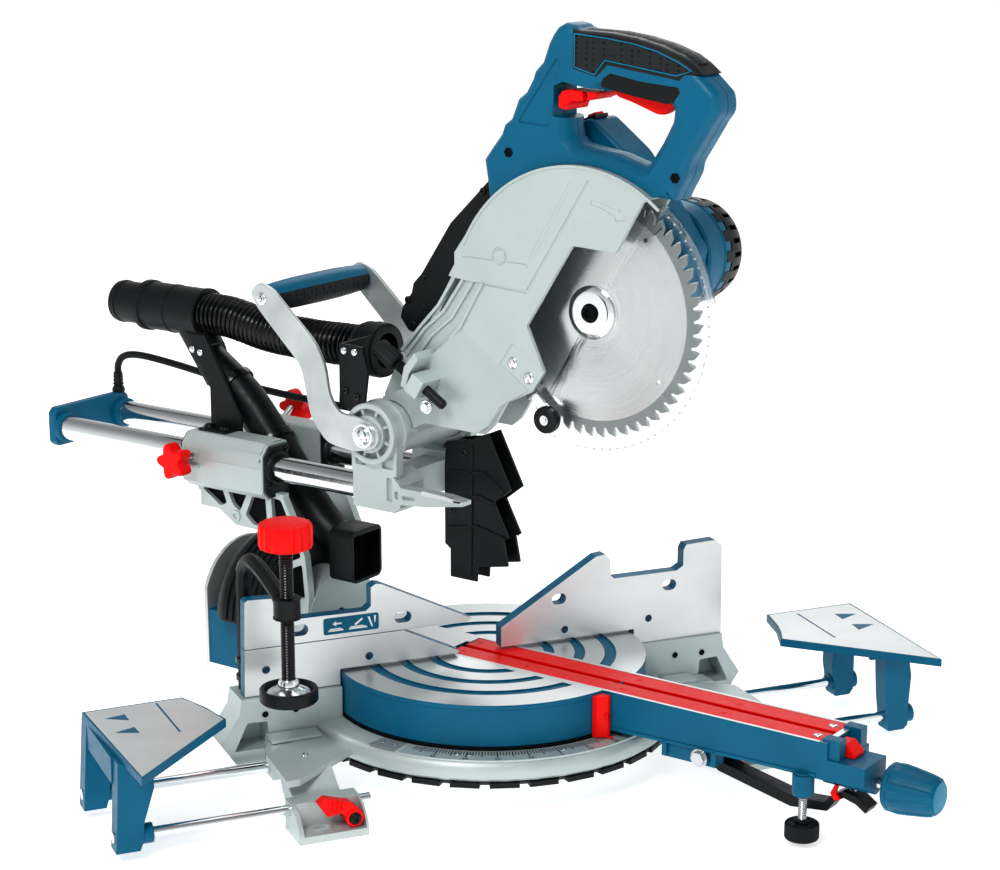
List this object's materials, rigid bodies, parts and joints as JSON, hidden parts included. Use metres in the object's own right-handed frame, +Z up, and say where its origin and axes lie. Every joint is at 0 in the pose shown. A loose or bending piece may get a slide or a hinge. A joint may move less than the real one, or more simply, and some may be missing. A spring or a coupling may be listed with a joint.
{
  "type": "sliding mitre saw",
  "caption": "Sliding compound mitre saw with turntable, tilting rail arm, chopping head, split fence, extension tables and a material clamp.",
  "frame": {"origin": "the middle of the saw's outline at bench level, at rest", "axes": "+Z up, +X along the fence to the operator's right, +Y away from the operator"},
  "size_m": [0.752, 0.837, 0.657],
  "materials": {
    "cast_silver": "silver paint on a die casting",
    "machined_aluminium": "machined and brushed",
    "blue_casting": "teal-blue paint on a die casting",
    "blue_plastic": "satin teal-blue paint or plastic",
    "black_plastic": "fine-grained black plastic",
    "black_rubber": "dull black rubber",
    "red_plastic": "smooth red plastic",
    "bright_steel": "ground or plated steel",
    "blade_steel": "ground steel",
    "clear_plastic": "clear polycarbonate"
  },
  "bodies": {
    "base": {"base_casting": "cast_silver", "right_fence": "machined_aluminium", "left_lower_fence": "machined_aluminium"},
    "upper_fence": {"left_upper_fence": "machined_aluminium"},
    "left_extension": {"left_extension_table": "blue_casting", "left_front_rod": "bright_steel", "left_rear_rod": "bright_steel"},
    "right_extension": {"right_extension_table": "blue_casting", "right_front_rod": "bright_steel", "right_rear_rod": "bright_steel"},
    "left_rod_clamp": {"left_rod_lever": "red_plastic"},
    "right_rod_clamp": {"right_rod_lever": "red_plastic"},
    "clamp_arm": {"clamp_post": "black_plastic"},
    "clamp_spindle": {"clamp_screw": "red_plastic", "clamp_pad": "bright_steel"},
    "table": {"turntable": "blue_casting", "table_arm": "blue_casting", "left_kerf_insert": "red_plastic", "right_kerf_insert": "red_plastic", "mitre_pointer": "red_plastic", "detent_flag": "red_plastic", "rear_cover": "black_plastic", "bevel_plate": "machined_aluminium"},
    "mitre_lock": {"mitre_lock_knob": "blue_plastic"},
    "detent": {"detent_lever": "black_plastic"},
    "foot_screw": {"arm_foot": "black_plastic"},
    "bevel_frame": {"bevel_arm": "cast_silver", "lower_dust_duct": "black_plastic", "dust_adapter": "black_plastic", "adapter_bracket": "black_plastic"},
    "slide_lock": {"left_slide_knob": "red_plastic"},
    "carriage": {"head_bracket": "cast_silver", "left_rail": "bright_steel", "right_rail": "bright_steel", "rail_end_cap": "blue_plastic", "left_carry_plate": "machined_aluminium", "right_carry_plate": "machined_aluminium", "carry_grip": "blue_plastic", "pivot_axle": "bright_steel", "hose_bracket": "black_plastic", "dust_hose": "black_rubber", "dust_chute": "black_rubber", "cable_sleeve": "black_rubber", "power_cable": "black_rubber"},
    "head": {"blade_casing": "cast_silver", "handle_housing": "blue_plastic", "soft_grip": "black_rubber", "gear_housing": "blue_plastic", "motor_housing": "blue_plastic", "motor_end_cap": "black_plastic", "drive_cover": "black_plastic", "depth_stop_bracket": "cast_silver"},
    "depth_screw": {"depth_stop_screw": "black_plastic"},
    "switch": {"trigger": "red_plastic"},
    "lock_off": {"lock_off_lever": "red_plastic"},
    "blade_unit": {"blade": "blade_steel", "arbor": "bright_steel", "blade_flange": "bright_steel"},
    "guard": {"lower_guard": "clear_plastic", "guard_roller": "black_plastic"}
  },
  "joints": [
    {"name": "mitre_turn", "type": "hinge", "parent": "base", "child": "table", "pos_m": [0.003, -0.03302, 0.092], "axis": [0, 0, 1], "range_deg": [-83.6, 28.4]},
    {"name": "bevel_tilt", "type": "hinge", "parent": "table", "child": "bevel_frame", "pos_m": [-0.09551, 0.1271, 0.092], "axis": [-0.524, 0.8517, 0], "range_deg": [-30, 0]},
    {"name": "rail_slide", "type": "slide", "parent": "bevel_frame", "child": "carriage", "axis": [0.524, -0.8517, 0], "range_m": [-0.095, 0.165], "deforming": ["dust_hose"]},
    {"name": "chop", "type": "hinge", "parent": "carriage", "child": "head", "pos_m": [-0.04049, 0.03767, 0.295], "axis": [0.8517, 0.524, 0], "range_deg": [0, 58], "stiffness_Nm_per_rad": 6, "springref_deg": -114.59},
    {"name": "blade_spin", "type": "hinge", "parent": "head", "child": "blade_unit", "pos_m": [0.05959, -0.12501, 0.415], "axis": [0.8517, 0.524, 0], "continuous": true},
    {"name": "guard_lift", "type": "hinge", "parent": "head", "child": "guard", "pos_m": [0.05959, -0.12501, 0.415], "axis": [0.8517, 0.524, 0], "range_deg": [-143, 0]},
    {"name": "trigger_pull", "type": "hinge", "parent": "head", "child": "switch", "pos_m": [0.10203, -0.194, 0.601], "axis": [0.8517, 0.524, 0], "range_deg": [0, 5], "stiffness_Nm_per_rad": 0.4, "springref_deg": -17.19},
    {"name": "lock_off_push", "type": "hinge", "parent": "head", "child": "lock_off", "pos_m": [0.06142, -0.13562, 0.597], "axis": [0.8517, 0.524, 0], "range_deg": [0, 8], "stiffness_Nm_per_rad": 0.1, "springref_deg": -17.19},
    {"name": "depth_stop_turn", "type": "hinge", "parent": "head", "child": "depth_screw", "pos_m": [-0.07207, -0.00641, 0.35744], "axis": [0.446, -0.725, -0.5247], "range_deg": [-180, 180]},
    {"name": "mitre_lock_turn", "type": "hinge", "parent": "table", "child": "mitre_lock", "pos_m": [0.21259, -0.37371, 0.058], "axis": [-0.524, 0.8517, 0], "range_deg": [-180, 0]},
    {"name": "detent_press", "type": "hinge", "parent": "table", "child": "detent", "pos_m": [0.12771, -0.23573, 0.054], "axis": [0.8517, 0.524, 0], "range_deg": [0, 5], "stiffness_Nm_per_rad": 2, "springref_deg": -11.46},
    {"name": "foot_turn", "type": "hinge", "parent": "table", "child": "foot_screw", "pos_m": [0.15757, -0.33007, 0], "axis": [0, 0, 1], "range_deg": [-180, 180]},
    {"name": "slide_lock_turn", "type": "hinge", "parent": "bevel_frame", "child": "slide_lock", "pos_m": [-0.2207, 0.18746, 0.24], "axis": [0.8517, 0.524, 0], "range_deg": [-180, 180]},
    {"name": "left_table_slide", "type": "slide", "parent": "base", "child": "left_extension", "axis": [1, 0, 0], "range_m": [-0.005, 0.1]},
    {"name": "right_table_slide", "type": "slide", "parent": "base", "child": "right_extension", "axis": [1, 0, 0], "range_m": [-0.1, 0.005]},
    {"name": "left_rod_clamp_turn", "type": "hinge", "parent": "base", "child": "left_rod_clamp", "pos_m": [-0.1755, -0.16702, 0.0146], "axis": [0, 1, 0], "range_deg": [0, 40]},
    {"name": "right_rod_clamp_turn", "type": "hinge", "parent": "base", "child": "right_rod_clamp", "pos_m": [0.1815, -0.16702, 0.0146], "axis": [0, 1, 0], "range_deg": [-40, 0]},
    {"name": "upper_fence_slide", "type": "slide", "parent": "base", "child": "upper_fence", "axis": [1, 0, 0], "range_m": [-0.06, 0]},
    {"name": "clamp_swing", "type": "hinge", "parent": "base", "child": "clamp_arm", "pos_m": [-0.218, -0.00802, 0.08], "axis": [0, 0, 1], "range_deg": [-20, 20]},
    {"name": "clamp_screw_feed", "type": "slide", "parent": "clamp_arm", "child": "clamp_spindle", "axis": [0, 0, 1], "range_m": [-0.03, 0.045]}
  ],
  "couplings": [
    {"joint": "guard_lift", "follows": "chop", "ratio": -2.45}
  ]
}
